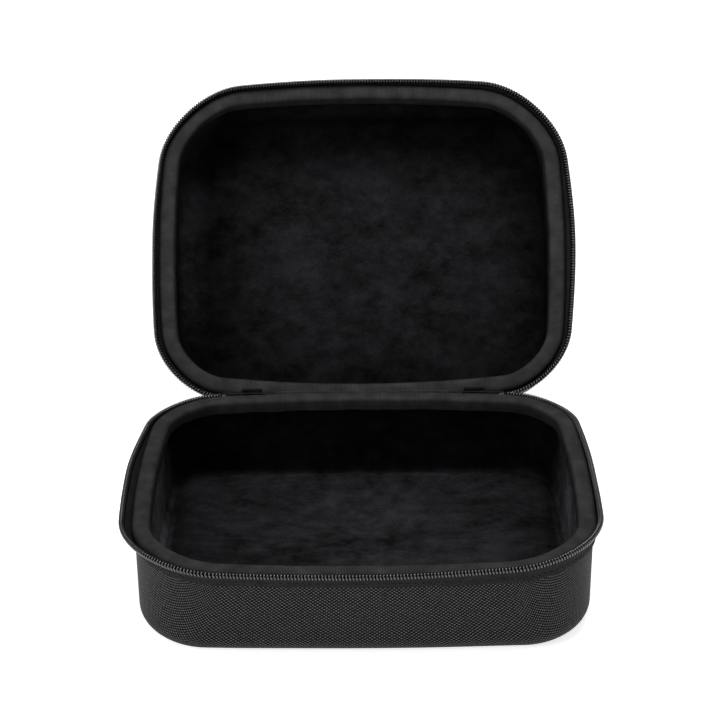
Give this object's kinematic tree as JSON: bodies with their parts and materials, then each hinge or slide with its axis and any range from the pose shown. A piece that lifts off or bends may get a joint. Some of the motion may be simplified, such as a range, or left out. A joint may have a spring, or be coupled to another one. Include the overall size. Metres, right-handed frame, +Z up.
{
  "type": "miniature carry case",
  "caption": "Hard-shell zip case for tabletop miniatures, standing open: deep base tray and lid with bound rims, plush lining, a folding fabric spine and zipper sliders.",
  "frame": {"origin": "centre of the base's flat underside, on the surface the case stands on", "axes": "+Z up, +Y from the open front towards the spine and lid, +X to the right seen from the front"},
  "size_m": [0.2102, 0.3011, 0.164],
  "materials": {
    "woven_shell": "black coarse woven polyester laminated over the foam, slightly shiny yarns",
    "pressed_foam": null,
    "plush_lining": "very dark short-nap plush",
    "rim_binding": "charcoal ribbed binding tape",
    "zipper_tape": "black herringbone zipper tape",
    "zipper_coil": "black nylon coil with a satin shine",
    "seam_thread": "black stitched thread",
    "floor_board": "stiff black board, covered",
    "slider_metal": "black-coated zinc"
  },
  "bodies": {
    "base": {"base_outer_skin": "woven_shell", "base_foam_shell": "pressed_foam", "base_lining": "plush_lining", "base_rim_binding": "rim_binding", "base_zipper_tape": "zipper_tape", "base_zipper_coil": "zipper_coil", "base_seam_thread": "seam_thread", "floor_board": "floor_board", "floor_board_cover": "plush_lining"},
    "spine": {"spine_strip": "rim_binding", "zipper_end_tab_left": "zipper_tape", "zipper_end_tab_right": "zipper_tape", "zipper_tail_lower_left": "zipper_coil", "zipper_tail_upper_left": "zipper_coil", "zipper_tail_lower_right": "zipper_coil", "zipper_tail_upper_right": "zipper_coil"},
    "lid": {"lid_outer_skin": "woven_shell", "lid_foam_shell": "pressed_foam", "lid_lining": "plush_lining", "lid_rim_binding": "rim_binding", "lid_zipper_tape": "zipper_tape", "lid_zipper_coil": "zipper_coil", "lid_seam_thread": "seam_thread"},
    "slider_left": {"slider_left": "slider_metal"},
    "slider_right": {"slider_right": "slider_metal"},
    "pull_left": {"pull_left": "slider_metal"},
    "pull_right": {"pull_right": "slider_metal"}
  },
  "joints": [
    {"name": "spine_fold", "type": "hinge", "parent": "base", "child": "spine", "pos_m": [0, 0.0818, 0.043], "axis": [1, 0, 0], "range_deg": [0, 140]},
    {"name": "lid_fold", "type": "hinge", "parent": "spine", "child": "lid", "pos_m": [0, 0.08951, 0.03381], "axis": [1, 0, 0], "range_deg": [-10, 0]},
    {"name": "slider_left_slide", "type": "slide", "parent": "spine", "child": "slider_left", "axis": [-1, 0, 0], "range_m": [0, 0.007]},
    {"name": "slider_right_slide", "type": "slide", "parent": "spine", "child": "slider_right", "axis": [1, 0, 0], "range_m": [0, 0.007]},
    {"name": "pull_left_swing", "type": "hinge", "parent": "slider_left", "child": "pull_left", "pos_m": [-0.0534, 0.08271, 0.03593], "axis": [0, -0.6428, 0.766], "range_deg": [-20, 0]},
    {"name": "pull_right_swing", "type": "hinge", "parent": "slider_right", "child": "pull_right", "pos_m": [0.0534, 0.08271, 0.03593], "axis": [0, 0.6428, -0.766], "range_deg": [-20, 0]}
  ],
  "couplings": [
    {"joint": "lid_fold", "follows": "spine_fold", "ratio": -0.071429}
  ]
}
